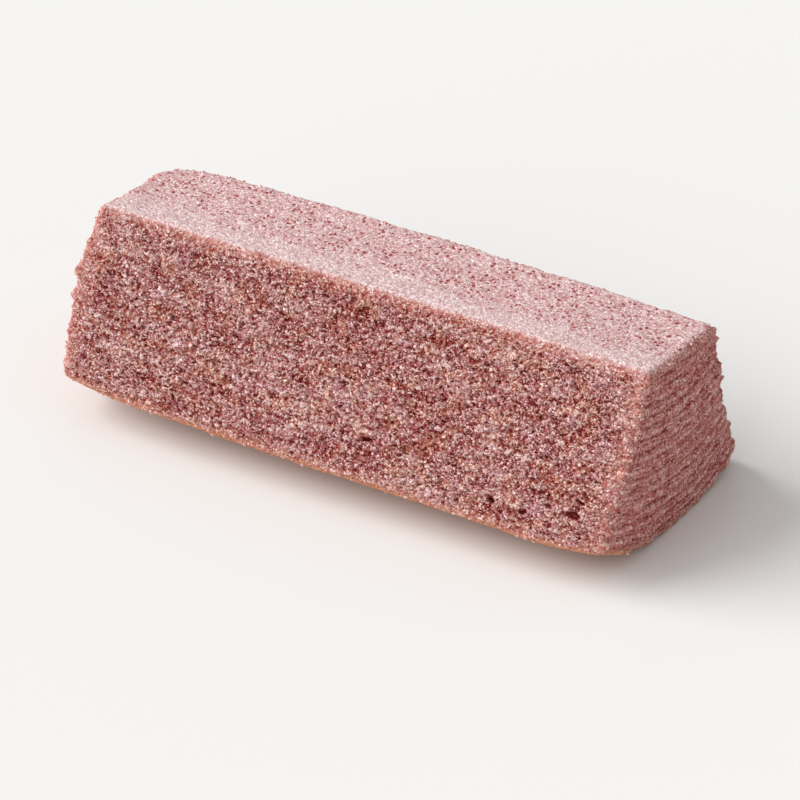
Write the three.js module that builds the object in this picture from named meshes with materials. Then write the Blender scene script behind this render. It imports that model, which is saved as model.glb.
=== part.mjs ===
// A bar of baumkuchen: one eighth of a layered ring cake, cut off lengthwise and
// laid on its browned outer skin. The narrow inner arc of the ring is on top, two
// porous cut faces lean in towards it, and both ends show the baked layers.
// Millimetres, +Z up. The length runs along X and the wider cut face looks along -Y.
// The origin is on the surface the bar lies on, under the middle of its box.
import * as THREE from 'three';

// Driving dimensions: the ring the bar was cut from, and the two radial cuts.
const LENGTH = 120;
const INNER_RADIUS = 31.6;
const OUTER_RADIUS = 67.15;
const FRONT_CUT = THREE.MathUtils.degToRad(28.8);
const BACK_CUT = THREE.MathUtils.degToRad(18.7);

// How the cut bar departs from a true ring sector.
const EDGE_ROUND = 1.9; // worn edges all round
const TOP_FLATNESS = 0.8; // 0 is the full inner arc, 1 is a flat top
const FOOT_SINK = 0.85; // the soft skin flattens where it rests
const BACK_PINCH = 2.0; // hollow of the back cut face, deepest at the +X end
const TOP_CROWN = 1.0; // rise of the back top edge at mid-length
const LEFT_BULGE = 1.5; // swell of the -X end
const RIGHT_BULGE = 0.5; // swell of the +X end
const LEFT_SKEW = 0.028; // the -X end is cut slightly off square
const HEEL_REACH = 22.7; // the skin curls up over this length at each end
const LEFT_HEEL = 2.3;
const RIGHT_HEEL = 0.5;

// Corners rounded off more than the edges: which end, side and level, and by how much.
const SOFT_CORNERS = [
  { end: -1, side: 1, level: 1, depth: 1.1, reach: 6 },
  { end: 1, side: -1, level: -1, depth: 0.9, reach: 8 },
];

// Surface relief: baked layers, crumb and pores.
const LAYERS = 15;
const END_GROOVE = 0.34; // depth of the layer lines on the end faces
const CUT_GROOVE = 0.14; // and on the two cut faces
const SWELL = { size: 17, height: 0.3 }; // broad unevenness
const CRUMB = { size: 4.2, height: 0.28 }; // coarse crumb, flattened along the layers
const PORE = { size: 5.5, from: 0.3, depth: 1.5 }; // open pores, where this noise runs high

// The few large pores low on the front face, most of them near its right end: place
// along the bar, height as a share of the thickness, length, height and depth.
const LARGE_PORES = [
  { x: 52.8, level: 0.2, length: 4, height: 1.9, depth: 2.0 },
  { x: 43.4, level: 0.14, length: 3, height: 1.6, depth: 1.3 },
  { x: 37.2, level: 0.15, length: 3, height: 1.6, depth: 1.3 },
  { x: 9.2, level: 0.24, length: 3, height: 1.6, depth: 1.2 },
];

// Cells of the surface net along the bar, across it and through its layers.
const CELLS_ALONG = 42;
const CELLS_ACROSS = 14;
const CELLS_THROUGH = 2 * LAYERS + 2;

const THICKNESS = OUTER_RADIUS - INNER_RADIUS;
const CUT_SPAN = FRONT_CUT + BACK_CUT;
const MEAN_WIDTH = CUT_SPAN * (INNER_RADIUS + OUTER_RADIUS) / 2;
const HALF = [LENGTH / 2, MEAN_WIDTH / 2, THICKNESS / 2];

const { clamp, smoothstep, lerp } = THREE.MathUtils;

// A repeatable random number from 0 to 1 for each whole-numbered place.
function draw(i, j, k) {
  const mixed = Math.sin(i * 127.1 + j * 311.7 + k * 74.7) * 43758.5453;
  return mixed - Math.floor(mixed);
}

// Smooth noise from -1 to 1: the eight draws round a point, blended.
function noise(x, y, z) {
  const [i, j, k] = [x, y, z].map(Math.floor);
  const [a, b, c] = [x - i, y - j, z - k].map((t) => t * t * (3 - 2 * t));
  const row = (dj, dk) => lerp(draw(i, j + dj, k + dk), draw(i + 1, j + dj, k + dk), a);
  return 2 * lerp(lerp(row(0, 0), row(1, 0), b), lerp(row(0, 1), row(1, 1), b), c) - 1;
}

// The net of a box: each place on it as three counts, and triangles facing outwards.
function boxNet(cells) {
  const places = [];
  const numbers = new Map();
  const numberOf = (place) => {
    const key = place.join();
    if (!numbers.has(key)) {
      numbers.set(key, places.length);
      places.push(place);
    }
    return numbers.get(key);
  };
  const triangles = [];
  for (const axis of [0, 1, 2]) {
    const [across, along] = [(axis + 1) % 3, (axis + 2) % 3];
    for (const wall of [0, cells[axis]]) {
      const corner = (i, j) => {
        const place = [];
        place[axis] = wall;
        place[across] = i;
        place[along] = j;
        return numberOf(place);
      };
      for (let i = 0; i < cells[across]; i += 1) {
        for (let j = 0; j < cells[along]; j += 1) {
          const ring = [corner(i, j), corner(i + 1, j), corner(i + 1, j + 1), corner(i, j + 1)];
          if (wall === 0) ring.reverse();
          const [a, b, c, d] = (i + j) % 2 ? [...ring.slice(1), ring[0]] : ring;
          triangles.push(a, b, c, a, c, d);
        }
      }
    }
  }
  return { places, triangles };
}

// A count along one side of the net, as a distance from its middle. The first and
// last cells are as wide as the rounding of the edge, and the others are equal.
function spread(count, cells, half) {
  if (count === 0) return -half;
  if (count === cells) return half;
  const inside = half - EDGE_ROUND;
  return -inside + (2 * inside * (count - 1)) / (cells - 2);
}

// Round the edges of a box: what stands beyond the inner box is drawn in to a ball.
function roundEdges(box) {
  const inner = box.map((d, n) => clamp(d, EDGE_ROUND - HALF[n], HALF[n] - EDGE_ROUND));
  const out = box.map((d, n) => d - inner[n]);
  const length = Math.hypot(...out) || 1;
  return inner.map((d, n) => d + (out[n] / length) * EDGE_ROUND);
}

// Draw the soft corners in, by a bell of the distance from each one.
function softenCorners(box) {
  const moved = [...box];
  for (const { end, side, level, depth, reach } of SOFT_CORNERS) {
    const signs = [end, side, level];
    const away = Math.hypot(...signs.map((sign, n) => sign * HALF[n] - box[n]));
    const bell = depth * Math.exp(-((away / reach) ** 2));
    signs.forEach((sign, n) => { moved[n] -= sign * bell; });
  }
  return moved;
}

// How far the skin has curled up at a place this far in from an end.
function heel(fromEnd, rise) {
  const reach = clamp(1 - fromEnd / HEEL_REACH, 0, 1);
  return rise * (1 - Math.sqrt(1 - reach * reach));
}

// Bend a point of the rounded box into the ring: across becomes the angle round the
// ring's centre, and up becomes the way in from the skin to the inner arc.
function bend([along, across, up]) {
  const t = clamp(across / HALF[1] / 2 + 0.5, 0, 1);
  const w = clamp(up / HALF[2] / 2 + 0.5, 0, 1);
  const angle = lerp(-FRONT_CUT, BACK_CUT, across / HALF[1] / 2 + 0.5);
  const middle = (BACK_CUT - FRONT_CUT) / 2;
  const chord = Math.cos(CUT_SPAN / 2) / Math.cos(angle - middle);
  const crown = TOP_CROWN * Math.cos((Math.PI * along) / LENGTH) * t;
  const inner = INNER_RADIUS * lerp(1, chord, TOP_FLATNESS) - crown;
  const curl = heel(LENGTH / 2 + along, LEFT_HEEL) + heel(LENGTH / 2 - along, RIGHT_HEEL);
  const radius = lerp(OUTER_RADIUS - curl, inner, up / HALF[2] / 2 + 0.5);

  const belly = Math.sin(Math.PI * w);
  const pinch = BACK_PINCH * belly * t * t * smoothstep((along / LENGTH + 0.5) * 1.2, 0, 1);
  const y = radius * Math.sin(angle) - pinch;
  const z = OUTER_RADIUS - radius * Math.cos(angle);
  const left = clamp(-along / HALF[0], 0, 1) ** 3;
  const right = clamp(along / HALF[0], 0, 1) ** 3;
  const x = along - left * (LEFT_BULGE * belly + LEFT_SKEW * y) + right * RIGHT_BULGE * belly;
  return new THREE.Vector3(x, y, z);
}

// Depth of the large pores at a place on the front face.
function largePores(x, level) {
  let depth = 0;
  for (const pore of LARGE_PORES) {
    const away = Math.hypot((x - pore.x) / pore.length, ((level - pore.level) * THICKNESS) / pore.height);
    depth = Math.max(depth, pore.depth * Math.exp(-2 * away * away));
  }
  return depth;
}

// How far a place stands out of the smooth form, in millimetres.
function relief([i, j, k], point) {
  const { x, y, z } = point;
  const onEnd = i === 0 || i === CELLS_ALONG;
  const onCut = j === 0 || j === CELLS_ACROSS;
  const onSkin = k === 0;
  const swell = SWELL.height * noise(x / SWELL.size, y / SWELL.size, z / SWELL.size);
  if (onSkin) return swell * smoothstep(z, 0.5, 4);

  const crumb = CRUMB.height * noise(x / CRUMB.size, (2 * y) / CRUMB.size, (2 * z) / CRUMB.size);
  if (!onEnd && !onCut) return swell + crumb * 0.6;

  const line = (onEnd ? END_GROOVE : CUT_GROOVE) * ((k % 2) - 0.5);
  const groove = line * (1 + 0.6 * noise(x / 9, y / 6, z / 3));
  const open = noise((x + y) / PORE.size, (x - y) / PORE.size, (2.6 * z) / PORE.size);
  const pore = PORE.depth * Math.max(open - PORE.from, 0);
  const large = j === 0 ? largePores(x, k / CELLS_THROUGH) : 0;
  return swell + crumb - groove - pore - large;
}

// The whole bar as one closed net, bent, roughened and set down on its foot.
function barGeometry() {
  const cells = [CELLS_ALONG, CELLS_ACROSS, CELLS_THROUGH];
  const { places, triangles } = boxNet(cells);
  const points = places.map((place) => {
    const box = place.map((count, n) => spread(count, cells[n], HALF[n]));
    return bend(softenCorners(roundEdges(box)));
  });
  const geometry = new THREE.BufferGeometry().setFromPoints(points);
  geometry.setIndex(triangles);
  geometry.computeVertexNormals();

  const position = geometry.getAttribute('position');
  const normal = new THREE.Vector3();
  places.forEach((place, n) => {
    normal.fromBufferAttribute(geometry.getAttribute('normal'), n);
    const point = points[n].addScaledVector(normal, relief(place, points[n]));
    position.setXYZ(n, point.x, point.y, Math.max(point.z - FOOT_SINK, 0));
  });

  geometry.computeBoundingBox();
  const middle = geometry.boundingBox.getCenter(new THREE.Vector3());
  geometry.translate(-middle.x, -middle.y, 0);
  geometry.computeVertexNormals();
  return geometry;
}

const sponge = new THREE.MeshStandardMaterial({ color: '#ad7a73', roughness: 0.92, metalness: 0 });
const bar = new THREE.Mesh(barGeometry(), sponge);
bar.name = 'sponge_bar';

const cake = new THREE.Group();
cake.add(bar);

export default cake;
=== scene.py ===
# %% [markdown]
# # A bar of baumkuchen
#
# Baumkuchen is baked layer by layer on a turning spit, so a whole one is a ring whose
# cut shows thin baked lines, like the rings of a tree. This bar is one eighth of such a
# ring, cut off lengthwise and laid on its browned outer skin. The narrow inner arc is on
# top, two porous cut faces spread downwards, and both ends show the layers.
#
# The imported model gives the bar's size and place. This lesson builds the crumb that one
# sees close up: pores, grains, layer lines, loose crumbs and the browned skin.

import bpy
import numpy as np
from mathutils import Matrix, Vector


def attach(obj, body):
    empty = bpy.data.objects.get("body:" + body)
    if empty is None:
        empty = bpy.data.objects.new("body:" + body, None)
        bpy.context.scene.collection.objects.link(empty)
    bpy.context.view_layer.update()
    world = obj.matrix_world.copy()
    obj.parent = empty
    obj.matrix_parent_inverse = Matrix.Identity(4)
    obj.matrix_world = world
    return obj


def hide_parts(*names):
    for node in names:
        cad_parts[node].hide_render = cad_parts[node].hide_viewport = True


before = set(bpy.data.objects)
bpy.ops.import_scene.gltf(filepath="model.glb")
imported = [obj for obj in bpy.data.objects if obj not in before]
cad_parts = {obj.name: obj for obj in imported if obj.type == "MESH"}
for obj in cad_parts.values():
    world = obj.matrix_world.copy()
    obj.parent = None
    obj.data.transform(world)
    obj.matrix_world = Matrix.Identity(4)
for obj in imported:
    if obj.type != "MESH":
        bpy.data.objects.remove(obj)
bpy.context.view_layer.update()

# %% [markdown]
# ## Sizes
#
# Every size is a real one in millimetres, and is turned to metres only when a mesh is
# made. The first group is the ring that the bar was cut from and the two cuts, the
# second says how a soft, hand-cut bar departs from a true sector of a ring. The near end
# shows about sixteen layers.

# %% Driving sizes, in millimetres
MM = 0.001
LENGTH = 120.0
INNER_RADIUS = 31.6
OUTER_RADIUS = 67.15
FRONT_CUT = np.radians(28.8)
BACK_CUT = np.radians(18.7)

EDGE_ROUND = 1.9
TOP_FLATNESS = 0.8
FOOT_SINK = 0.85
BACK_PINCH = 2.0
TOP_CROWN = 1.0
LEFT_BULGE = 1.5
RIGHT_BULGE = 0.5
LEFT_SKEW = 0.028
HEEL_REACH = 22.7
LEFT_HEEL = 2.3
RIGHT_HEEL = 0.5
MIDDLE = (-0.53, -5.29)  # the middle of the bar's box, seen from the ring's own axis

SOFT_CORNERS = [
    {"signs": (-1, 1, 1), "depth": 1.1, "reach": 6.0},
    {"signs": (1, -1, -1), "depth": 0.9, "reach": 8.0},
]

LAYERS = 16
THICKNESS = OUTER_RADIUS - INNER_RADIUS
CUT_SPAN = FRONT_CUT + BACK_CUT
HALF = np.array([LENGTH, CUT_SPAN * (INNER_RADIUS + OUTER_RADIUS) / 2, THICKNESS]) / 2
print(f"layers of {THICKNESS / LAYERS:.2f} mm in {THICKNESS:.1f} mm of cake")

# %% [markdown]
# ## Repeatable noise
#
# Crumb is irregular, but the script has to give the same bar each time. Blender's own
# noise textures live in the material, where they can't move vertices far or be read
# back, so the relief uses noise worked out here with numpy, for all points at once.
# Points shifted by a whole number, such as + 40, meet a fresh noise of the same kind.

# %% Noise for whole arrays of points
DRAW_TURNS = np.array([127.1, 311.7, 74.7])  # large and uneven, so that neighbours differ
DRAW_SCALE = 43758.5453
SEED_SALTS = (1.3, 5.9, 8.1)  # one for each axis of a seed's place
NUMBER_SALT = 3.7
FAR = 9.0  # in cells, farther than any seed


def draw(cell, salt=0.0):
    """A random number from 0 to 1 for each whole-numbered place: the fraction of a large sine."""
    mixed = np.sin(cell @ DRAW_TURNS + salt) * DRAW_SCALE
    return mixed - np.floor(mixed)


def soft_noise(points, size):
    """Smooth noise from -1 to 1: the draws at the eight corners of a point's cell, blended
    by an S curve of the place inside the cell. size is the cell's size on each axis."""
    places = points / np.asarray(size, float)
    cell = np.floor(places)
    inside = places - cell
    share = inside * inside * (3 - 2 * inside)
    total = np.zeros(len(points))
    for corner in np.ndindex(2, 2, 2):
        weight = np.prod(np.where(corner, share, 1 - share), axis=1)
        total += weight * draw(cell + corner)
    return 2 * total - 1


def nearest_seed(points, size, salt, jitter=(1.0, 1.0, 1.0)):
    """Cellular noise: each cell holds one seed, moved off its middle at random by up to half
    of jitter. Gives the distance to the nearest seed, in cells, and that seed's own number."""
    places = points / np.asarray(size, float)
    cell = np.floor(places)
    nearest = np.full(len(points), FAR)
    number = np.zeros(len(points))
    for step in np.ndindex(3, 3, 3):
        other = cell + np.array(step) - 1
        moved = np.stack([draw(other, salt + own) for own in SEED_SALTS], axis=1) - 0.5
        away = np.linalg.norm(places - other - 0.5 - moved * np.array(jitter), axis=1)
        closer = away < nearest
        nearest = np.where(closer, away, nearest)
        number = np.where(closer, draw(other, salt + NUMBER_SALT), number)
    return nearest, number


def pushed(points, reach, size, turns):
    """The points pushed about by up to reach on each axis, by one soft noise for each axis."""
    return points + reach * np.stack([soft_noise(points + turn, size) for turn in turns], axis=1)


def ramp(value, low, high):
    """An S curve that runs from 0 at low to 1 at high."""
    share = np.clip((value - low) / (high - low), 0, 1)
    return share * share * (3 - 2 * share)


sample = np.random.default_rng(1).uniform(0, 50, (1000, 3))
print(f"noise runs from {soft_noise(sample, 4).min():.2f} to {soft_noise(sample, 4).max():.2f}")

# %% [markdown]
# ## The form of the bar
#
# The bar could be cut from a lathed ring with booleans, but then its faces would carry
# no even net for the crumb. Instead a closed net is laid over a plain box, its edges
# are rounded, and the box is bent into the ring: its length stays straight, its width
# becomes the angle round the ring, and its height becomes the way in from the skin.

# %% A closed net over a box
def box_net(cells):
    """The net of a box: each vertex as three counts, and quads facing outwards. Each pair of
    opposite walls is one grid, and vertices that walls share are merged by their counts."""
    grids, quads, first = [], [], 0
    for axis in range(3):
        across, along = (axis + 1) % 3, (axis + 2) % 3
        for wall in (0, cells[axis]):
            i, j = np.meshgrid(np.arange(cells[across] + 1), np.arange(cells[along] + 1), indexing="ij")
            counts = np.zeros(i.shape + (3,), int)
            counts[..., axis], counts[..., across], counts[..., along] = wall, i, j
            number = first + np.arange(i.size).reshape(i.shape)
            ring = [number[:-1, :-1], number[1:, :-1], number[1:, 1:], number[:-1, 1:]]
            if wall == 0:
                ring.reverse()
            grids.append(counts.reshape(-1, 3))
            quads.append(np.stack(ring, axis=-1).reshape(-1, 4))
            first += i.size
    counts, faces = np.concatenate(grids), np.concatenate(quads)
    places, merged = np.unique(counts, axis=0, return_inverse=True)
    return places, merged.reshape(-1)[faces]


CELLS = (560, 124, 168)  # cells of about 0.21 mm along the bar and through its layers
net_places, net_faces = box_net(CELLS)
print(f"{len(net_places)} vertices and {len(net_faces)} quads")

# %% Rounding the box and bending it into the ring
def round_edges(box):
    """Draws what stands beyond an inner box in to a ball of the edge's radius. Gives the
    rounded places and the unit vectors out of them, which say which faces a place is on."""
    inner = np.clip(box, EDGE_ROUND - HALF, HALF - EDGE_ROUND)
    out = box - inner
    out /= np.linalg.norm(out, axis=1, keepdims=True)
    return inner + out * EDGE_ROUND, out


def soften_corners(box):
    """Draws each soft corner in by a bell of the distance from it."""
    moved = box.copy()
    for corner in SOFT_CORNERS:
        signs = np.array(corner["signs"])
        away = np.linalg.norm(signs * HALF - box, axis=1)
        moved -= signs * (corner["depth"] * np.exp(-((away / corner["reach"]) ** 2)))[:, None]
    return moved


def heel(from_end, rise):
    """A quarter ellipse that lifts the skin towards an end of the bar."""
    reach = np.clip(1 - from_end / HEEL_REACH, 0, 1)
    return rise * (1 - np.sqrt(1 - reach * reach))


def bend(box):
    """Bends the box into the ring: angle from the share across, radius from the share up."""
    along, across, up = box.T
    share_across = across / HALF[1] / 2 + 0.5
    share_up = up / HALF[2] / 2 + 0.5
    angle = -FRONT_CUT + CUT_SPAN * share_across
    chord = np.cos(CUT_SPAN / 2) / np.cos(angle - (BACK_CUT - FRONT_CUT) / 2)
    crown = TOP_CROWN * np.cos(np.pi * along / LENGTH) * np.clip(share_across, 0, 1)
    inner = INNER_RADIUS * (1 + TOP_FLATNESS * (chord - 1)) - crown
    curl = heel(LENGTH / 2 + along, LEFT_HEEL) + heel(LENGTH / 2 - along, RIGHT_HEEL)
    outer = OUTER_RADIUS - curl
    radius = outer + (inner - outer) * share_up

    belly = np.sin(np.pi * np.clip(share_up, 0, 1))
    hollow = ramp((along / LENGTH + 0.5) * 1.2, 0, 1)
    y = radius * np.sin(angle) - BACK_PINCH * belly * np.clip(share_across, 0, 1) ** 2 * hollow
    z = OUTER_RADIUS - radius * np.cos(angle)
    left = np.clip(-along / HALF[0], 0, 1) ** 3
    right = np.clip(along / HALF[0], 0, 1) ** 3
    x = along - left * (LEFT_BULGE * belly + LEFT_SKEW * y) + right * RIGHT_BULGE * belly
    return np.stack([x, y, z], axis=1)


def normals_of(points, faces):
    """The unit normal of each vertex: the sum of the cross products of its quads' diagonals."""
    a, b, c, d = (points[faces[:, n]] for n in range(4))
    across = np.cross(c - a, d - b)
    total = np.zeros_like(points)
    for n in range(4):
        for axis in range(3):
            total[:, axis] += np.bincount(faces[:, n], across[:, axis], len(points))
    return total / np.linalg.norm(total, axis=1, keepdims=True)


box_places = (net_places / np.array(CELLS) * 2 - 1) * HALF
rounded, outward = round_edges(box_places)
in_box = soften_corners(rounded)
smooth_bar = bend(in_box)
smooth_normals = normals_of(smooth_bar, net_faces)
print("smooth bar, in mm:", np.ptp(smooth_bar, axis=0).round(1))

# %% [markdown]
# ## Which face a place is on
#
# The two cut faces are open crumb, the ends are closer and show the layers, the top is
# fine and dense because it baked against the spit, and the skin underneath is smooth.
# The unit vector out of the rounded box tells them apart: the square of each part is
# that face's share, and the shares add up to one, so the finishes blend over the edges.
# The edges themselves are pressed and worn smooth, so their nearness is kept as well: a
# bell of the second smallest distance to the walls of the box, wider along the bar. The
# top is smooth along its front edge and pitted behind it, with a wavy change between.

# %% Shares of the faces
end_share = outward[:, 0] ** 2
cut_share = outward[:, 1] ** 2
top_share = np.where(outward[:, 2] > 0, outward[:, 2] ** 2, 0)
skin_share = np.where(outward[:, 2] < 0, outward[:, 2] ** 2, 0)
layer_place = (in_box[:, 2] / HALF[2] / 2 + 0.5) * LAYERS

EDGE_WIDTHS = np.array([3.2, 1.7, 1.7])  # in mm along the bar, across it and through it
edge_away = np.sort((HALF - np.abs(rounded)) / EDGE_WIDTHS, axis=1)[:, 1]
edge_near = np.exp(-(edge_away**2))

from_front = (in_box[:, 1] / HALF[1] + 1) / 2
pitted = ramp(from_front + 0.2 * soft_noise(in_box + 70, (9.0, 5.0, 5.0)), 0.12, 0.5)
print("share of the net on the cut faces:", round(float(cut_share.mean()), 2))

# %% [markdown]
# ## Relief of the crumb
#
# Sponge is a foam. A knife that goes through it opens its bubbles, and what stands
# between them is a ragged net of thin walls. So the cut faces are flat walls with
# bubbles taken out of them: the seeds of a cellular noise are the middles of balls of
# two sizes, flattened along the layers and lying in rows, because each layer was
# poured and baked before the next. The walls themselves stand up as lumps, which are the
# same noise the other way up, and the layer lines are narrow dents between the rows.
#
# The edges are torn as well: ledges run along the layers, small crags stand out of the
# rounded edges of the ends, and three larger lumps are left on the front edge at the left.

# %% Layer lines and bubbles
LAYER = THICKNESS / LAYERS
LINE_WIDTH = 0.20
WANDER, WANDER_SIZE = 0.16, (13, 8, 2.4)  # a share of the lines' gap, and mm
TREMBLE, TREMBLE_SIZE = 0.09, (3, 2.4, 1.5)
STRENGTH, FADE, FADE_SIZE = 0.7, 0.5, (4, 2.6, 1.6)
IN_ROWS = (1.0, 1.0, 0.4)  # bubbles stray less through the layers than along them
LUMP_REACH, CREASE = 0.55, -0.7


def layer_lines(box, place, gap=1.0, salt=0.0):
    """How near a place is to a layer line, 0 to 1: a bell of the distance to the nearest whole
    number, whose line wanders and fades a little along the face. gap is in layers."""
    wander = WANDER * soft_noise(box + salt, WANDER_SIZE)
    tremble = TREMBLE * soft_noise(box + salt + 40, TREMBLE_SIZE)
    shifted = place + (wander + tremble)
    away = (shifted - np.round(shifted)) * LAYER * gap
    strength = STRENGTH + FADE * soft_noise(box + salt + 80, FADE_SIZE)
    return np.clip(strength, 0, 1) * np.exp(-((away / LINE_WIDTH) ** 2))


def bubbles(box, size, kept, radius, salt):
    """Depth of opened bubbles in mm: in a ball round a kept seed, the square root of the
    radius squared less the distance squared. size is the ball's cell in mm, kept is the
    share of cells with a ball in them, and radius is the largest ball's, in cells."""
    warped = pushed(box, 0.5, 1.0, (3, 17, 29))
    away, number = nearest_seed(warped, size, salt, IN_ROWS)
    reach = radius * (0.6 + 0.4 * number / kept)
    depth = np.sqrt(np.clip(reach**2 - away**2, 0, None)) * min(size)
    return np.where(number < kept, depth, 0)


def lumps(box, size, salt):
    """Rounded lumps with creases between them: one less the squared distance to the nearest
    seed as a share of a lump's reach, a little higher or lower from lump to lump."""
    warped = pushed(box, 0.35, 1.1, (5, 11, 37))
    away, number = nearest_seed(warped, size, salt)
    return np.clip(1 - (away / LUMP_REACH) ** 2, CREASE, 1) * (0.7 + 0.6 * number)


lines = layer_lines(in_box, layer_place)
half_lines = layer_lines(in_box, 2 * layer_place + 0.5, gap=0.5, salt=7.0)
small = bubbles(in_box, (1.2, 0.9, LAYER / 3), kept=0.55, radius=0.50, salt=11.0)
large = bubbles(in_box, (2.0, 1.5, LAYER / 2), kept=0.20, radius=0.36, salt=23.0)
coarse_lumps = lumps(in_box, (1.4, 1.1, 0.85), salt=61.0)
fine_lumps = lumps(in_box, (0.88, 0.75, 0.55), salt=83.0)
print(f"bubbles opened on {100 * ((small + large) > 0.1).mean():.0f}% of the net")

# %% The few large pores low on the front face, and lumps on its left edge
wavy = pushed(in_box, 0.5, 1.6, (7, 19, 31))

LARGE_PORES = [  # along the bar, share of the thickness, length, height, depth
    (51.8, 0.194, 1.35, 0.45, 1.1),
    (47.0, 0.203, 0.7, 0.4, 0.7),
    (42.2, 0.138, 0.8, 0.4, 0.8),
    (53.0, 0.275, 0.7, 0.4, 0.7),
    (36.0, 0.146, 0.9, 0.4, 0.9),
    (8.2, 0.237, 1.0, 0.4, 0.8),
]
TORN_LUMPS = [  # share of the thickness, height, reach
    (0.93, 0.5, 1.5),
    (0.60, 0.8, 1.7),
    (0.45, 0.9, 1.7),
]


def large_pores(box):
    """The deepest of the named pores at a place on the front face, each a flat-bottomed bell."""
    depth = np.zeros(len(box))
    for along, level, length, height, deep in LARGE_PORES:
        up = (level - 0.5) * THICKNESS
        away = ((box[:, 0] - along) / length) ** 2 + ((box[:, 2] - up) / height) ** 2
        depth = np.maximum(depth, deep * np.exp(-(away**2)))
    return depth * (outward[:, 1] < -0.5)


def torn_lumps(box):
    """Height of the lumps left standing on the left front edge, each a bell of the distance."""
    height = np.zeros(len(box))
    for level, high, reach in TORN_LUMPS:
        middle = np.array([-HALF[0], -HALF[1], (level - 0.5) * THICKNESS])
        away = np.linalg.norm(box - middle, axis=1) / reach
        height = np.maximum(height, high * np.exp(-(away**2)))
    return height


named_pores = large_pores(wavy)
torn = torn_lumps(wavy)
print("named pores reach", round(float(named_pores.max()), 2), "mm deep")

# %% The whole relief
SWELL_SIZE, SWELL_HEIGHT = 17.0, 0.3
CRUMB_SIZE, CRUMB_HEIGHT = (4.2, 2.1, 2.1), 0.28
RAGGED_SIZE, RAGGED_HEIGHT = (2.8, 2.2, 1.2), 0.26
FINE_SIZE, FINE_HEIGHT = 0.5, 0.14
LUMP_HEIGHT, FINE_LUMP_HEIGHT = 0.24, 0.21
END_LINE_DEPTH, CUT_LINE_DEPTH = 0.25, 0.14
LEDGE_SIZE, LEDGE_HEIGHT = (5.0, 5.0, 1.1), 0.32
CRAG_SIZE, CRAG_HEIGHT = (1.5, 1.5, 1.2), 3.2  # no more than 0.8 by the shares of the faces
EDGE_CALM = 0.85  # the part of the foam and of the lumps that is worn off the edges
CUT_RISE = 0.3  # makes up for the bubbles that are taken out of the cut faces
FOOT_LEVELS = (0.6, 3.0)  # the skin is pressed flat below the first, and free above the second


def relief():
    """How far each vertex stands out of the smooth form in millimetres, how hollow it is, 0 to
    1, and how raised, -1 to 1: swell + crumb + lumps - lines - bubbles, by the face it is on,
    and at the edges ledges and crags as well."""
    swell = SWELL_HEIGHT * soft_noise(smooth_bar, SWELL_SIZE)
    crumb = CRUMB_HEIGHT * soft_noise(smooth_bar, CRUMB_SIZE)
    ragged = RAGGED_HEIGHT * soft_noise(in_box + 60, RAGGED_SIZE)
    fine = FINE_HEIGHT * soft_noise(in_box + 90, FINE_SIZE)
    lumpy = LUMP_HEIGHT * coarse_lumps + FINE_LUMP_HEIGHT * fine_lumps
    inside = 1 - EDGE_CALM * edge_near
    foam = (small + 1.2 * large) * inside + named_pores

    open_cut = (lumpy + ragged) * inside + fine - foam - CUT_LINE_DEPTH * (lines + 0.6 * half_lines)
    closed_end = 0.35 * lumpy + 0.5 * ragged + 0.8 * fine - 0.4 * small
    closed_end -= END_LINE_DEPTH * (lines + 0.7 * half_lines)
    dense_top = 0.5 * fine + 0.10 * fine_lumps - 0.25 * small * pitted
    skin = 0.2 * fine
    local = cut_share * open_cut + end_share * closed_end + top_share * dense_top + skin_share * skin

    crumb_share = cut_share + end_share + 0.5 * top_share + 0.3 * skin_share
    ledges = LEDGE_HEIGHT * soft_noise(in_box + 51, LEDGE_SIZE)
    ledges *= edge_near * (cut_share + end_share)
    crags = CRAG_HEIGHT * soft_noise(in_box + 130, CRAG_SIZE)
    crags *= end_share * (cut_share + 0.7 * skin_share)
    rise = CUT_RISE * cut_share * (1 - edge_near)
    off_foot = 1 - skin_share * (1 - ramp(smooth_bar[:, 2], *FOOT_LEVELS))
    height = (swell + crumb * crumb_share + local + ledges + crags + torn + rise) * off_foot

    # hollow goes to the colour, where hollows are painted maroon as painted shade.
    hollow = ramp(foam, 0.10, 0.60) * cut_share
    hollow += 0.5 * ramp(small, 0.1, 0.4) * (end_share + 0.8 * top_share)
    spread = 0.6 * cut_share + 0.4 * end_share + 0.22 * (top_share + skin_share)
    # raised goes to the colour, where raised crumb is painted paler and creases darker, as painted
    # light and shade.
    raised = np.clip((local - 0.6 * ragged * cut_share) / spread, -1, 1)
    return height, np.clip(hollow, 0, 1), raised


height, hollow, raised = relief()
bar_points = smooth_bar + smooth_normals * height[:, None]
bar_points -= np.array([*MIDDLE, FOOT_SINK])
bar_points[:, 2] = np.maximum(bar_points[:, 2], 0)
print(f"relief from {height.min():.2f} to {height.max():.2f} mm")

# %% [markdown]
# ## Colours and materials
#
# Colours are picked as sRGB hex values, as a colour picker shows them, and one function
# turns them to the linear values that Blender works with. One small function adds a
# node with its settings and links, and a few more name the kinds that come back most, so
# each material reads as a list of its patterns.

# %% Helpers for materials
def linear(hex_colour):
    """sRGB hex to linear red, green, blue and alpha: the standard sRGB curve undone."""
    srgb = np.array([int(hex_colour[n : n + 2], 16) for n in (1, 3, 5)]) / 255
    flat = np.where(srgb <= 0.04045, srgb / 12.92, ((srgb + 0.055) / 1.055) ** 2.4)
    return (*flat.tolist(), 1.0)


def add_node(tree, kind, inputs=None, stops=None, **settings):
    """Adds a node, sets its properties and its inputs, and links those given as sockets."""
    node = tree.nodes.new(kind)
    for name, value in settings.items():
        setattr(node, name, value)
    for name, value in (inputs or {}).items():
        if isinstance(value, bpy.types.NodeSocket):
            tree.links.new(value, node.inputs[name])
        else:
            node.inputs[name].default_value = value
    if stops:
        points = node.color_ramp.elements
        while len(points) < len(stops):
            points.new(0.5)
        for point, (place, colour) in zip(points, stops):
            point.position = place
            point.color = linear(colour)
    return node


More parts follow.
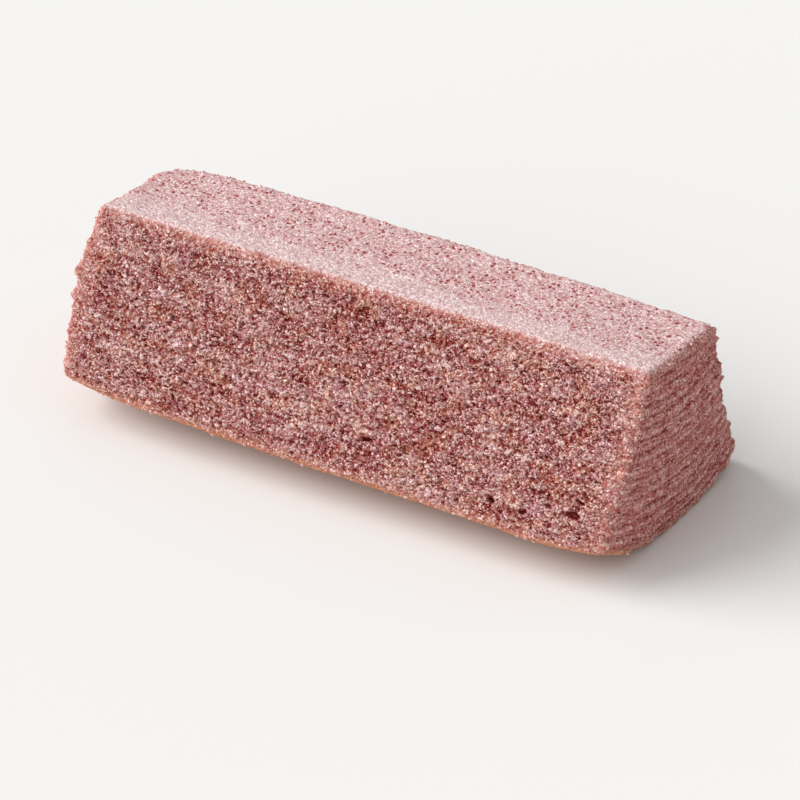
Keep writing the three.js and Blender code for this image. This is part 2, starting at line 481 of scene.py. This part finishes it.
def new_material(name):
    """A material with an empty node tree."""
    material = bpy.data.materials.new(name)
    material.use_nodes = True
    material.node_tree.nodes.clear()
    return material, material.node_tree


def blend(tree, factor, first, second, blend_type="MIX"):
    """The colour that a Mix node gives from two colours and a factor."""
    inputs = {0: factor, 6: first, 7: second}
    return add_node(tree, "ShaderNodeMix", inputs, data_type="RGBA", blend_type=blend_type).outputs[2]


def maths(tree, operation, first, second):
    """The value that a Math node gives from two values."""
    return add_node(tree, "ShaderNodeMath", {0: first, 1: second}, operation=operation).outputs[0]


def between(tree, value, zero_at, full_at, full=1.0):
    """0 where the value is at zero_at and full where it is at full_at, even in between."""
    inputs = {0: value, 1: zero_at, 2: full_at, 3: 0.0, 4: full}
    return add_node(tree, "ShaderNodeMapRange", inputs).outputs[0]


def noise_of(tree, vector, scale, detail):
    """Noise from 0 to 1, with scale cells to a millimetre and finer ones added as detail."""
    inputs = {"Vector": vector, "Scale": scale, "Detail": detail}
    return add_node(tree, "ShaderNodeTexNoise", inputs).outputs[0]


def carried(tree, name):
    """One of the numbers that the mesh carries on its vertices, by name."""
    return add_node(tree, "ShaderNodeAttribute", attribute_name=name).outputs["Fac"]


def mixed(tree, parts, weights, start=0.0):
    """start plus each named part times its weight, as a chain of Multiply Add nodes."""
    total = start
    for name, weight in weights.items():
        inputs = {0: parts[name], 1: weight, 2: total}
        total = add_node(tree, "ShaderNodeMath", inputs, operation="MULTIPLY_ADD").outputs[0]
    return total


print("rosy crumb as linear colour:", [round(part, 3) for part in linear("#AD756E")])

# %% [markdown]
# ## The sponge's finish
#
# Baked sponge is matte, and light goes only a fraction of a millimetre into its walls
# before it comes out pink. Its colour isn't even. Each grain is paler or darker, the baked
# layer lines are red-brown, the top is pale rose, and the skin that met the heat is
# orange-brown. Pores and creases are darkened to maroon as painted shade, raised crumb is
# made paler as painted light, and the palest flecks are made brighter as painted glints.
# The pattern of the grains comes from Object coordinates in real millimetres, and the
# places of the faces, pores and layers come from attributes that the mesh carries.
#
# A tone from 0 to 1 picks the colour on a row of stops, from the painted shade of hollows to pale
# grains and painted glints.
# Each face mixes its own tone from the same patterns, and the tables say by how much.

# %% The sponge's colours
# The darkest stops are painted shade for pores and creases. The palest are pale grains and painted
# glints.
CUT_STOPS = [
    (0.0, "#5D0C0D"),
    (0.2, "#7D2722"),
    (0.42, "#975651"),
    (0.62, "#AB7A74"),
    (0.82, "#C19D98"),
    (1.0, "#EBD4CF"),
]
TOP_STOPS = [(0.0, "#933D3C"), (0.25, "#BE7877"), (0.55, "#D4ADAC"), (1.0, "#F6E4E3")]
END_STOPS = [(0.0, "#86251F"), (0.3, "#B7605A"), (0.65, "#DA9691"), (1.0, "#F9E0DC")]
SKIN_STOPS = [(0.0, "#9A5034"), (0.5, "#C47B55"), (1.0, "#DCA583")]
EDGE_STOPS = [(0.0, "#933E35"), (0.35, "#B3675C"), (0.7, "#CA9388"), (1.0, "#E6CCC5")]
# Painted shade: the maroon that the hollows and bubbles are filled with.
HOLLOW_SHADE_COLOUR = linear("#621214")
LINE_COLOUR = linear("#86352B")
TAN_COLOUR = linear("#C4B29A")
MAUVE_COLOUR = linear("#BCAEC0")
print(len(CUT_STOPS), "stops from a pore's maroon to the palest grain of a cut face")

# %% Sizes and weights of the sponge's patterns
FLATTENING = 1.3
WOBBLE = {"scale": 1.8, "reach": 0.55}  # cells to a millimetre, and millimetres
GRAIN_MM, FLECK_MM = 0.62, 0.29
PIT = {"size": 0.62, "kept": 0.55}
# The top's tiny pits are only painted: a darker colour with no dent, as painted shade.
TOP_PIT = {"size": 0.95, "kept": 0.60}
PIT_FLOOR, PIT_RIM = 0.12, 0.46  # in cells from the middle
# Painted highlights: the palest flecks are made brighter still, to stand for tiny glints on the crumb.
PAINTED_GLINT_POWER = 4.0  # leaves only the palest flecks bright
PATCH_SCALE, CLUSTER_SCALE = 0.3, 0.35  # cells to a millimetre
PATCH_STRENGTH = 0.9

# In the tone tables a negative pit or top_pit weight darkens pores as painted shade, raised makes lumps
# paler and creases darker as painted light and shade, and the glint weights brighten the palest flecks
# as painted highlights. pitted darkens the pitted back of the top a little.
CUT_START, CALM_START, TOP_START = 0.09, 0.38, 0.50
CUT_WEIGHTS = {"grain": 0.24, "painted_glint": 0.88, "pit": -0.76, "raised": 0.42, "clump": 0.50}
CALM_WEIGHTS = {"grain": 0.24, "painted_glint": 0.64, "pit": -0.36, "raised": 0.38}
TOP_WEIGHTS = {"grain": 0.20, "painted_glint": 0.74, "top_pit": -1.15, "raised": 0.30, "pitted": -0.12}
BUMP_WEIGHTS = {"grain_away": -0.4, "fleck_away": -0.35, "fleck": 0.2, "pit": -0.7}
BUMP_DEPTH, BUMP_STRENGTH = 0.6, 0.65
LINE_STRENGTH, HOLLOW_SHADE_STRENGTH = 0.85, 0.88
print("grains of", GRAIN_MM, "mm with flecks of", FLECK_MM, "mm")


# %% Patterns of the sponge, in millimetres
def millimetres(tree):
    """Object coordinates in millimetres. Upwards they count for more, so that the cells drawn
    with them lie flat like the layers."""
    place = add_node(tree, "ShaderNodeTexCoord").outputs["Object"]
    flat = (1 / MM, 1 / MM, FLATTENING / MM)
    return add_node(tree, "ShaderNodeVectorMath", {0: place, 1: flat}, operation="MULTIPLY").outputs[0]


def wobbled(tree, vector):
    """The vector pushed about by a fine noise, so that no cell drawn with it is round."""
    inputs = {"Vector": vector, "Scale": WOBBLE["scale"], "Detail": 3.0}
    wobble = add_node(tree, "ShaderNodeTexNoise", inputs).outputs["Color"]
    push = {0: wobble, 1: (WOBBLE["reach"],) * 3, 2: vector}
    return add_node(tree, "ShaderNodeVectorMath", push, operation="MULTIPLY_ADD").outputs[0]


def cells_of(tree, vector, size):
    """Cells of a size in millimetres: each one's random number and the distance to its middle."""
    cells = add_node(tree, "ShaderNodeTexVoronoi", {"Vector": vector, "Scale": 1 / size})
    number = add_node(tree, "ShaderNodeSeparateColor", {0: cells.outputs["Color"]}).outputs[0]
    return number, cells.outputs["Distance"]


def pits_of(tree, vector, size, kept):
    """Small open pores: 1 in the middle of a kept share of the cells, falling to 0 at their rims."""
    number, away = cells_of(tree, vector, size)
    deep = between(tree, away, PIT_RIM, PIT_FLOOR)
    return maths(tree, "MULTIPLY", deep, maths(tree, "LESS_THAN", number, kept))


def sponge_patterns(tree, in_mm):
    """The patterns that the tones and the bump are mixed from, by name."""
    warped = wobbled(tree, in_mm)
    parts = {name: carried(tree, name) for name in ("raised", "clump", "pitted")}
    parts["grain"], parts["grain_away"] = cells_of(tree, warped, GRAIN_MM)
    parts["fleck"], parts["fleck_away"] = cells_of(tree, warped, FLECK_MM)
    parts["painted_glint"] = maths(tree, "POWER", parts["fleck"], PAINTED_GLINT_POWER)
    parts["pit"] = pits_of(tree, warped, **PIT)

    clusters = between(tree, noise_of(tree, in_mm, CLUSTER_SCALE, 2.0), 0.38, 0.56)
    where = maths(tree, "MULTIPLY", parts["pitted"], clusters)
    parts["top_pit"] = maths(tree, "MULTIPLY", pits_of(tree, warped, **TOP_PIT), where)
    return parts


# %% The sponge's material
def sponge_colour(tree, in_mm, parts):
    """The cut faces' colour with its tan and mauve patches, and over it each other finish where
    its share says: end, layer lines, top, edge, skin, and last the painted shade of hollows."""
    calm = mixed(tree, parts, CALM_WEIGHTS, CALM_START)
    rows = {
        "cut": (mixed(tree, parts, CUT_WEIGHTS, CUT_START), CUT_STOPS),
        "top": (mixed(tree, parts, TOP_WEIGHTS, TOP_START), TOP_STOPS),
        "end": (calm, END_STOPS),
        "edge": (calm, EDGE_STOPS),
        "skin": (calm, SKIN_STOPS),
    }

    def picked(name):
        tone, stops = rows[name]
        return add_node(tree, "ShaderNodeValToRGB", {0: tone}, stops).outputs[0]

    patch = noise_of(tree, in_mm, PATCH_SCALE, 5.0)
    tan = between(tree, patch, 0.50, 0.64, PATCH_STRENGTH)
    mauve = between(tree, patch, 0.50, 0.36, PATCH_STRENGTH)
    line = maths(tree, "MULTIPLY", carried(tree, "line"), LINE_STRENGTH)
    # Painted shade: the hollows are blended towards maroon.
    painted_hollow_shade = maths(tree, "MULTIPLY", carried(tree, "hollow"), HOLLOW_SHADE_STRENGTH)

    colour = blend(tree, tan, picked("cut"), TAN_COLOUR, "SOFT_LIGHT")
    colour = blend(tree, mauve, colour, MAUVE_COLOUR, "SOFT_LIGHT")
    colour = blend(tree, carried(tree, "end"), colour, picked("end"))
    colour = blend(tree, line, colour, LINE_COLOUR)
    for name in ("top", "edge", "skin"):
        colour = blend(tree, carried(tree, name), colour, picked(name))
    return blend(tree, painted_hollow_shade, colour, HOLLOW_SHADE_COLOUR)


def sponge_material():
    """Pink layered sponge, baked on a spit: matte, porous, and faintly translucent."""
    material, tree = new_material("sponge_spit_baked")
    in_mm = millimetres(tree)
    parts = sponge_patterns(tree, in_mm)
    colour = sponge_colour(tree, in_mm, parts)
    uneven = mixed(tree, parts, BUMP_WEIGHTS)
    inputs = {"Height": uneven, "Distance": BUMP_DEPTH * MM, "Strength": BUMP_STRENGTH}
    bump = add_node(tree, "ShaderNodeBump", inputs)
    surface = add_node(
        tree,
        "ShaderNodeBsdfPrincipled",
        {
            "Base Color": colour,
            "Roughness": 0.68,
            "IOR": 1.45,
            "Specular IOR Level": 0.08,
            "Subsurface Weight": 0.25,
            "Subsurface Radius": (1.0, 0.8, 0.7),
            "Subsurface Scale": 0.15 * MM,
            "Normal": bump.outputs[0],
        },
    )
    add_node(tree, "ShaderNodeOutputMaterial", {"Surface": surface.outputs[0]})
    return material


sponge = sponge_material()
print("made", sponge.name, "with", len(sponge.node_tree.nodes), "nodes")

# %% [markdown]
# ## From arrays to pieces
#
# A piece's object sits at the origin and its place is in its mesh. The mesh is filled
# straight from the arrays, with its attributes beside it. The net is too fine for one
# mesh, so it is parted across the bar into slabs, each closed by flat faces inside
# the cake. Neighbours keep the same vertices along their parting, and those rims are
# marked sharp, so that the inner faces don't bend the light on the crumb beside them.

# %% Making a mesh from arrays
def make_piece(name, points, faces, material, attributes=None, smooth=True):
    """A mesh object from points in millimetres, with float attributes on its points."""
    mesh = bpy.data.meshes.new(name)
    mesh.from_pydata((points * MM).tolist(), [], faces)
    for attribute, values in (attributes or {}).items():
        layer = mesh.attributes.new(attribute, "FLOAT", "POINT")
        layer.data.foreach_set("value", np.ascontiguousarray(values, np.float32))
    mesh.polygons.foreach_set("use_smooth", np.full(len(faces), smooth))
    mesh.materials.append(material)
    mesh.update()
    piece = bpy.data.objects.new(name, mesh)
    bpy.context.scene.collection.objects.link(piece)
    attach(piece, "root")
    return piece


# %% Shares of the finishes
LOW_RIM = 1.2  # how far the skin's brown reaches up the faces, in mm
low_rim = np.exp(-(((in_box[:, 2] + HALF[2]) / LOW_RIM) ** 2)) * (1 - skin_share)
patchy = soft_noise(in_box + 9, (5.0, 3.0, 2.0)) + 0.9 * soft_noise(in_box + 14, 1.0)
patchy = ramp(patchy, -0.6, 0.9)
clump = 0.5 * soft_noise(in_box + 150, (3.8, 2.8, 0.9))
clump += 0.7 * soft_noise(in_box + 190, (6.5, 4.5, 2.2))
finishes = {
    "end": end_share,
    "top": ramp(top_share, 0.25, 0.85),
    "skin": np.clip(0.85 * ramp(skin_share, 0.1, 0.7) + 0.55 * low_rim, 0, 1),
    "edge": np.clip(edge_near * (0.6 + 0.4 * patchy) * (1 - ramp(top_share, 0.7, 0.98)), 0, 1),
    "line": np.clip((lines + 0.7 * half_lines) * (end_share + 0.45 * cut_share), 0, 1),
    # hollow and raised carry painted shade and painted light to the sponge's colour.
    "hollow": hollow,
    "raised": raised,
    "clump": 0.5 + 0.5 * clump,
    "pitted": pitted,
}
print("rosy edges on", round(100 * float((finishes["edge"] > 0.3).mean())), "% of the net")


# %% The slabs of the body
SLABS = ("left", "middle_left", "middle_right", "right")
PARTINGS = [0, 115, 280, 445, CELLS[0]]  # counts along the bar


def rim_of_parting(along):
    """The vertices of a parting plane in order round it, so that its face looks along +X."""
    across, through = CELLS[1], CELLS[2]
    ways = [(j, 0) for j in range(across)]
    ways += [(across, k) for k in range(through)]
    ways += [(across - j, through) for j in range(across)]
    ways += [(0, through - k) for k in range(through)]
    size = np.array(CELLS) + 1
    number = np.ravel_multi_index(net_places.T, size)
    wanted = np.ravel_multi_index(np.array([(along, j, k) for j, k in ways]).T, size)
    return np.searchsorted(number, wanted)


def slab(name, near, far):
    """The quads between two partings, numbered afresh, with the inner faces that close them."""
    middle = net_places[net_faces, 0].mean(axis=1)
    mine = (middle >= near) & (middle <= far)
    used, fresh = np.unique(net_faces[mine], return_inverse=True)
    quads = fresh.reshape(-1, 4).tolist()
    rims = []
    if near > 0:
        rims.append(np.searchsorted(used, rim_of_parting(near)[::-1]).tolist())
    if far < CELLS[0]:
        rims.append(np.searchsorted(used, rim_of_parting(far)).tolist())
    kept = {key: values[used] for key, values in finishes.items()}
    piece = make_piece(name, bar_points[used], quads + rims, sponge, kept)
    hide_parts("sponge_bar")

    ends = np.empty(2 * len(piece.data.edges), int)
    piece.data.edges.foreach_get("vertices", ends)
    pairs = ends.reshape(-1, 2)
    on_rim = np.any([np.isin(pairs, rim).all(axis=1) for rim in rims], axis=0)
    piece.data.attributes.new("sharp_edge", "BOOLEAN", "EDGE").data.foreach_set("value", on_rim)
    print(f"{name}: {2 * len(quads) + sum(len(rim) - 2 for rim in rims)} triangles")
    return piece


for number, name in enumerate(SLABS):
    slab(f"sponge_{name}", PARTINGS[number], PARTINGS[number + 1])

# %% [markdown]
# ## Loose grains
#
# A knife tears sponge as much as it cuts it, so the cut faces are covered in grains that
# cling by one side. A particle system would scatter them, but a mesh worked out from
# arrays stays a plain mesh. Each grain is a twenty-sided ball, stretched and dented at
# random, with flat facets that catch the light, and sunk into the walls of the foam.

# %% A twenty-sided grain
GOLDEN = (1 + 5**0.5) / 2


def icosahedron():
    """Twelve corners at unit distance and twenty faces: the corners of three golden rectangles,
    and each face three corners that are one edge apart, turned to face outwards."""
    corners = []
    for a in (-1, 1):
        for b in (-GOLDEN, GOLDEN):
            corners += [(0, a, b), (a, b, 0), (b, 0, a)]
    corners = np.array(corners, float)
    corners /= np.linalg.norm(corners[0])
    gaps = np.linalg.norm(corners[:, None] - corners[None], axis=2)
    near = (gaps > 0.1) & (gaps < 1.2)
    i, j, k = np.array([t for t in np.ndindex(12, 12, 12) if t[0] < t[1] < t[2]]).T
    joined = near[i, j] & near[j, k] & near[i, k]
    faces = np.stack([i, j, k], axis=1)[joined]
    a, b, c = (corners[faces[:, n]] for n in range(3))
    inward = np.sum(np.cross(b - a, c - a) * a, axis=1) < 0
    faces[inward] = faces[inward][:, ::-1]
    return corners, faces


BALL_CORNERS, BALL_FACES = icosahedron()
print(len(BALL_CORNERS), "corners and", len(BALL_FACES), "faces in a grain")

# %% Scattering grains over the bar
STRETCH = (0.5, 1.4)  # on each axis of a grain
DENTS = (0.7, 1.25)  # of the distance of each corner
SHIFT = 0.15  # in mm, less than a cell of the net
SMALL_BIAS = 2.5  # the higher, the more of the grains are small

bar_normals = normals_of(bar_points, net_faces)


def random_turns(rng, count):
    """Random rotation matrices: three random directions made square to each other."""
    first = rng.normal(size=(count, 3))
    second = rng.normal(size=(count, 3))
    first /= np.linalg.norm(first, axis=1, keepdims=True)
    second -= first * np.sum(first * second, axis=1, keepdims=True)
    second /= np.linalg.norm(second, axis=1, keepdims=True)
    return np.stack([first, second, np.cross(first, second)], axis=2)


def grains(name, count, weight, smallest, largest, sink, seed, material):
    """Scatters grains on the bar: each on a vertex drawn by weight, shifted a little, its
    radius in mm between smallest and largest with small ones more common, sunk by a share
    of its radius. A tint from 0 to 1 on each grain is its colour."""
    corners = len(BALL_CORNERS)
    rng = np.random.default_rng(seed)
    chosen = rng.choice(len(bar_points), count, replace=False, p=weight / weight.sum())
    size = smallest + (largest - smallest) * rng.random(count) ** SMALL_BIAS
    stretch = rng.uniform(*STRETCH, (count, 1, 3))
    dents = rng.uniform(*DENTS, (count, corners, 1))
    balls = (BALL_CORNERS[None] * stretch * dents) @ random_turns(rng, count)
    shift = rng.uniform(-SHIFT, SHIFT, (count, 3))
    centre = bar_points[chosen] + shift - bar_normals[chosen] * (sink * size)[:, None]
    points = (balls * size[:, None, None] + centre[:, None]).reshape(-1, 3)
    points[:, 2] = np.maximum(points[:, 2], 0)
    faces = (BALL_FACES[None] + corners * np.arange(count)[:, None, None]).reshape(-1, 3)
    tint = np.repeat(rng.random(count), corners)
    piece = make_piece(name, points, faces.tolist(), material, {"tint": tint}, smooth=False)
    print(f"{name}: {count} grains, {len(faces)} triangles")
    return piece


# %% [markdown]
# ## The grains' finish
#
# The grains are the same sponge. On a real bar they are thin enough for light to shine
# through, so they look paler than the crumb behind them. Here they are solid, and their
# colours, from rose to nearly white, stand for that.

# %% The grains' material
CRUMB_STOPS = [(0.0, "#B56E64"), (0.3, "#C68A81"), (0.7, "#DBB2AA"), (1.0, "#F4DFD9")]
CRUMB_START, CRUMB_WEIGHTS = -0.2, {"tint": 0.8, "speck": 0.6}
SPECK_SCALE = 3.5  # cells to a millimetre
CRUMB_BUMP_DEPTH = 0.15


def crumb_material():
    """Torn sponge grains: matte and pale, each with its own tint and fine specks on it."""
    material, tree = new_material("crumb_torn_sponge")
    speck = noise_of(tree, millimetres(tree), SPECK_SCALE, 2.0)
    parts = {"tint": carried(tree, "tint"), "speck": speck}
    tone = mixed(tree, parts, CRUMB_WEIGHTS, CRUMB_START)
    colour = add_node(tree, "ShaderNodeValToRGB", {0: tone}, CRUMB_STOPS).outputs[0]
    inputs = {"Height": speck, "Distance": CRUMB_BUMP_DEPTH * MM, "Strength": 0.6}
    bump = add_node(tree, "ShaderNodeBump", inputs)
    surface = add_node(
        tree,
        "ShaderNodeBsdfPrincipled",
        {
            "Base Color": colour,
            "Roughness": 0.5,
            "IOR": 1.45,
            "Specular IOR Level": 0.15,
            "Normal": bump.outputs[0],
        },
    )
    add_node(tree, "ShaderNodeOutputMaterial", {"Surface": surface.outputs[0]})
    return material


crumb = crumb_material()
print("made", crumb.name)

# %% The scatters
open_crumb = (1 - 0.9 * hollow) * (1 - skin_share) ** 6
on_front = open_crumb * cut_share**2 * (outward[:, 1] < 0)
on_back = open_crumb * cut_share**2 * (outward[:, 1] > 0)
on_ends = open_crumb * end_share**2 * (1 - 0.8 * lines)
on_top = open_crumb * top_share**2
on_edges = cut_share * (end_share + 0.3 * top_share + skin_share)
on_edges += end_share * (0.3 * top_share + skin_share)
on_edges *= ramp(bar_points[:, 2], 1.0, 2.5)

FIRST_SEED = 101
SCATTERS = [  # how many, where, smallest and largest radius in mm, and how far sunk
    ("crumb_front", 9600, on_front, 0.10, 0.34, 0.3),
    ("crumb_front_fine", 9600, on_front, 0.07, 0.16, 0.1),
    ("crumb_back", 9600, on_back, 0.10, 0.34, 0.3),
    ("crumb_ends", 6000, on_ends, 0.08, 0.2, 0.2),
    ("crumb_top", 5000, on_top, 0.07, 0.15, 0.45),
    ("crumb_edges", 2000, on_edges, 0.10, 0.45, 0.45),
]
for number, scatter in enumerate(SCATTERS):
    grains(*scatter, FIRST_SEED + number, crumb)

# %% [markdown]
# ## Floor, light and camera
#
# The bar is looked at on a plain pale floor under soft studio light. A wide, far softbox
# high on the left makes the top the brightest face, a weaker one in front lights the cut
# face, and an even sky fills the shadows. Wide lamps are used because their shadows have
# soft borders, and far ones because they light the whole bar alike.

# %% The floor
FLOOR_REACH = 2.5  # in metres, to each side of the bar
FLOOR_COLOUR = "#E4E3E1"


def studio_floor():
    """A wide flat sheet under the bar, in matt off-white paper."""
    material, tree = new_material("paper_backdrop")
    inputs = {"Base Color": linear(FLOOR_COLOUR), "Roughness": 0.9}
    surface = add_node(tree, "ShaderNodeBsdfPrincipled", inputs)
    add_node(tree, "ShaderNodeOutputMaterial", {"Surface": surface.outputs[0]})
    mesh = bpy.data.meshes.new("studio_floor")
    corners = [(x * FLOOR_REACH, y * FLOOR_REACH, 0) for x, y in ((-1, -1), (1, -1), (1, 1), (-1, 1))]
    mesh.from_pydata(corners, [], [(0, 1, 2, 3)])
    mesh.materials.append(material)
    sheet = bpy.data.objects.new("studio_floor", mesh)
    bpy.context.scene.collection.objects.link(sheet)
    return sheet


studio_floor()
print("floor laid")

# %% The lights
def far_softbox(name, place, width, strength):
    """A softbox far off in the direction of place: a sun of the given width in degrees."""
    lamp = bpy.data.lights.new(name, "SUN")
    lamp.angle = np.radians(width)
    lamp.energy = strength
    holder = bpy.data.objects.new(name, lamp)
    holder.location = place
    holder.rotation_euler = Vector(place).to_track_quat("Z", "Y").to_euler()
    bpy.context.scene.collection.objects.link(holder)
    return holder


far_softbox("key_left", (-1.2, -0.55, 1.0), width=50, strength=2.8)
far_softbox("fill_front", (-0.2, -1.0, 0.6), width=50, strength=0.9)

SKY_STRENGTH = 0.5
world = bpy.data.worlds.new("even_sky")
world.use_nodes = True
sky = world.node_tree.nodes["Background"]
sky.inputs["Color"].default_value = (1, 1, 1, 1)
sky.inputs["Strength"].default_value = SKY_STRENGTH
bpy.context.scene.world = world
bpy.context.scene.view_settings.view_transform = "Standard"

# %% The camera
CAMERA_TURN = np.radians(31.515)
CAMERA_RISE = np.radians(31.712)
CAMERA_AWAY = 0.7961
CAMERA_AIM = Vector((0.00113, 0.00133, 0.00819))
LENS_MM = 188.9

camera = bpy.data.cameras.new("camera")
camera.sensor_width = 36
camera.lens = LENS_MM
viewer = bpy.data.objects.new("camera", camera)
level = np.cos(CAMERA_RISE)
back = Vector((np.sin(CAMERA_TURN) * level, -np.cos(CAMERA_TURN) * level, np.sin(CAMERA_RISE)))
viewer.location = CAMERA_AIM + back * CAMERA_AWAY
viewer.rotation_euler = back.to_track_quat("Z", "Y").to_euler()
bpy.context.scene.collection.objects.link(viewer)
bpy.context.scene.camera = viewer
print("camera at", [round(part, 3) for part in viewer.location])
